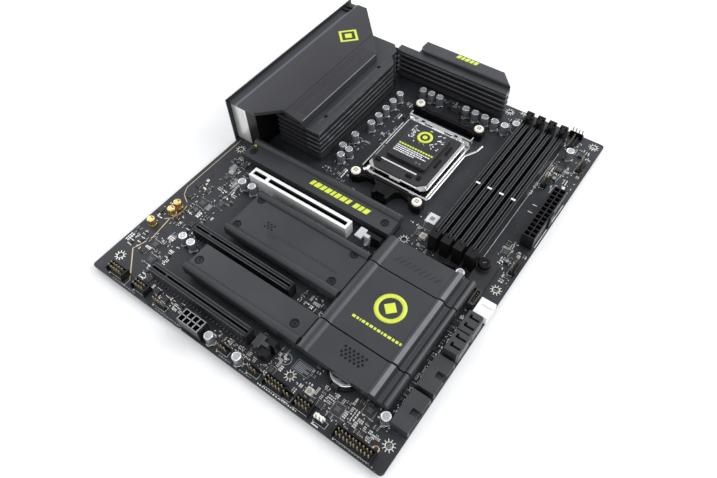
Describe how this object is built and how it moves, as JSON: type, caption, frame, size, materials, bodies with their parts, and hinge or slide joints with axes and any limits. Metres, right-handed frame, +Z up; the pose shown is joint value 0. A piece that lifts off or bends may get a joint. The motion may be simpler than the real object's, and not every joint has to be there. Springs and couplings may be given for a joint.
{
  "type": "motherboard",
  "caption": "Full-size desktop motherboard with finned heatsinks, port cover, processor socket, memory slots and expansion slots.",
  "frame": {"origin": "middle of the circuit board's underside, the plane that rests on the case's standoffs", "axes": "+X from the rear port edge to the front edge, +Y from the bottom edge to the top edge, +Z up out of the component side"},
  "size_m": [0.2524, 0.3057, 0.0448],
  "materials": {
    "board": "satin solder mask",
    "cover": "fine matt coating",
    "heatsink": "anodised satin",
    "steel": "bright nickel",
    "dark_steel": "black coated",
    "black_plastic": "moulded",
    "cap_plastic": "moulded",
    "white_plastic": "moulded",
    "grey_plastic": "moulded",
    "port_metal": "nickel shell",
    "gold": "plated",
    "ferrite": "sintered",
    "pad": "soft pad",
    "can": "sleeved can",
    "gold_can": "gold sleeve",
    "chip": "epoxy",
    "cell": "bright",
    "screw": "plated",
    "dark_screw": "black"
  },
  "bodies": {
    "board_assembly": {"pcb": "board", "io_shield": "dark_steel", "usb_and_video_ports": "port_metal", "lan_port": "port_metal", "antenna_jacks": "gold", "audio_jack_block": "port_metal", "button_switches": "black_plastic", "io_cover": "cover", "vrm_heatsink_left": "heatsink", "vrm_heatsink_top": "heatsink", "vrm_inductors": "ferrite", "thermal_pads": "pad", "integrated_circuits": "chip", "socket_body": "black_plastic", "socket_frame": "steel", "cooler_brackets": "black_plastic", "bracket_screws": "screw", "socket_backplate": "dark_steel", "dimm_slot_1": "black_plastic", "dimm_slot_2": "black_plastic", "dimm_slot_3": "black_plastic", "dimm_slot_4": "black_plastic", "pcie_slot_1": "black_plastic", "pcie_slot_1_armour": "steel", "pcie_slot_2": "black_plastic", "pcie_slot_3": "black_plastic", "release_base": "black_plastic", "m2_heatsink_top": "heatsink", "m2_heatsink_middle": "heatsink", "m2_heatsink_lower": "heatsink", "chipset_heatsink_upper": "heatsink", "chipset_heatsink_centre": "heatsink", "chipset_heatsink_lower": "heatsink", "heatsink_fasteners": "dark_screw", "m2_sockets": "black_plastic", "polymer_capacitors": "can", "audio_capacitors": "gold_can", "coin_cell": "cell", "coin_cell_holder": "black_plastic", "atx_power_connector": "black_plastic", "cpu_power_connectors": "black_plastic", "pcie_power_connector": "grey_plastic", "sata_connectors": "black_plastic", "usb_headers": "black_plastic", "edge_fan_connector": "white_plastic", "pin_header_bases": "black_plastic", "pin_header_pins": "gold"},
    "settings_button": {"settings_button": "black_plastic"},
    "firmware_button": {"firmware_button": "black_plastic"},
    "load_plate": {"socket_load_plate": "steel"},
    "socket_cap": {"socket_cap": "cap_plastic"},
    "lever": {"socket_lever": "steel"},
    "dimm_latch_1": {"dimm_latch_1": "black_plastic"},
    "dimm_latch_2": {"dimm_latch_2": "black_plastic"},
    "dimm_latch_3": {"dimm_latch_3": "black_plastic"},
    "dimm_latch_4": {"dimm_latch_4": "black_plastic"},
    "pcie_latch_1": {"pcie_latch_1": "steel"},
    "pcie_latch_3": {"pcie_latch_3": "black_plastic"},
    "release_button": {"release_button": "grey_plastic"},
    "release_linkage": {"release_linkage": "dark_steel"}
  },
  "joints": [
    {"name": "settings_button_press", "type": "slide", "parent": "board_assembly", "child": "settings_button", "axis": [1, 0, 0], "range_m": [0, 0.0015], "stiffness_N_per_m": 300, "springref_m": -0.0005},
    {"name": "firmware_button_press", "type": "slide", "parent": "board_assembly", "child": "firmware_button", "axis": [1, 0, 0], "range_m": [0, 0.0015], "stiffness_N_per_m": 300, "springref_m": -0.0005},
    {"name": "load_plate_hinge", "type": "hinge", "parent": "board_assembly", "child": "load_plate", "pos_m": [0.00868, 0.0936, 0.0068], "axis": [-1, 0, 0], "range_deg": [0, 90]},
    {"name": "socket_cap_lift", "type": "slide", "parent": "load_plate", "child": "socket_cap", "axis": [0, 0, 1], "range_m": [0, 0.025]},
    {"name": "lever_hinge", "type": "hinge", "parent": "board_assembly", "child": "lever", "pos_m": [0.00868, 0.0246, 0.0052], "axis": [1, 0, 0], "range_deg": [0, 110]},
    {"name": "dimm_latch_1_hinge", "type": "hinge", "parent": "board_assembly", "child": "dimm_latch_1", "pos_m": [0.06378, 0.1321, 0.0046], "axis": [-1, 0, 0], "range_deg": [0, 25]},
    {"name": "dimm_latch_2_hinge", "type": "hinge", "parent": "board_assembly", "child": "dimm_latch_2", "pos_m": [0.07313, 0.1321, 0.0046], "axis": [-1, 0, 0], "range_deg": [0, 25]},
    {"name": "dimm_latch_3_hinge", "type": "hinge", "parent": "board_assembly", "child": "dimm_latch_3", "pos_m": [0.08248, 0.1321, 0.0046], "axis": [-1, 0, 0], "range_deg": [0, 25]},
    {"name": "dimm_latch_4_hinge", "type": "hinge", "parent": "board_assembly", "child": "dimm_latch_4", "pos_m": [0.09183, 0.1321, 0.0046], "axis": [-1, 0, 0], "range_deg": [0, 25]},
    {"name": "pcie_latch_1_hinge", "type": "hinge", "parent": "board_assembly", "child": "pcie_latch_1", "pos_m": [0.02508, -0.03048, 0.0046], "axis": [0, 1, 0], "range_deg": [0, 20]},
    {"name": "pcie_latch_3_hinge", "type": "hinge", "parent": "board_assembly", "child": "pcie_latch_3", "pos_m": [0.02208, -0.13208, 0.0046], "axis": [0, 1, 0], "range_deg": [0, 20]},
    {"name": "release_button_press", "type": "slide", "parent": "board_assembly", "child": "release_button", "axis": [0, 0, -1], "range_m": [0, 0.0024], "stiffness_N_per_m": 400, "springref_m": -0.0005},
    {"name": "release_linkage_slide", "type": "slide", "parent": "board_assembly", "child": "release_linkage", "axis": [0.9833, 0.1822, 0], "range_m": [0, 0.003]}
  ],
  "couplings": [
    {"joint": "release_linkage_slide", "follows": "release_button_press", "ratio": 1.25},
    {"joint": "pcie_latch_1_hinge", "follows": "release_button_press", "rad_per_m": 145}
  ]
}
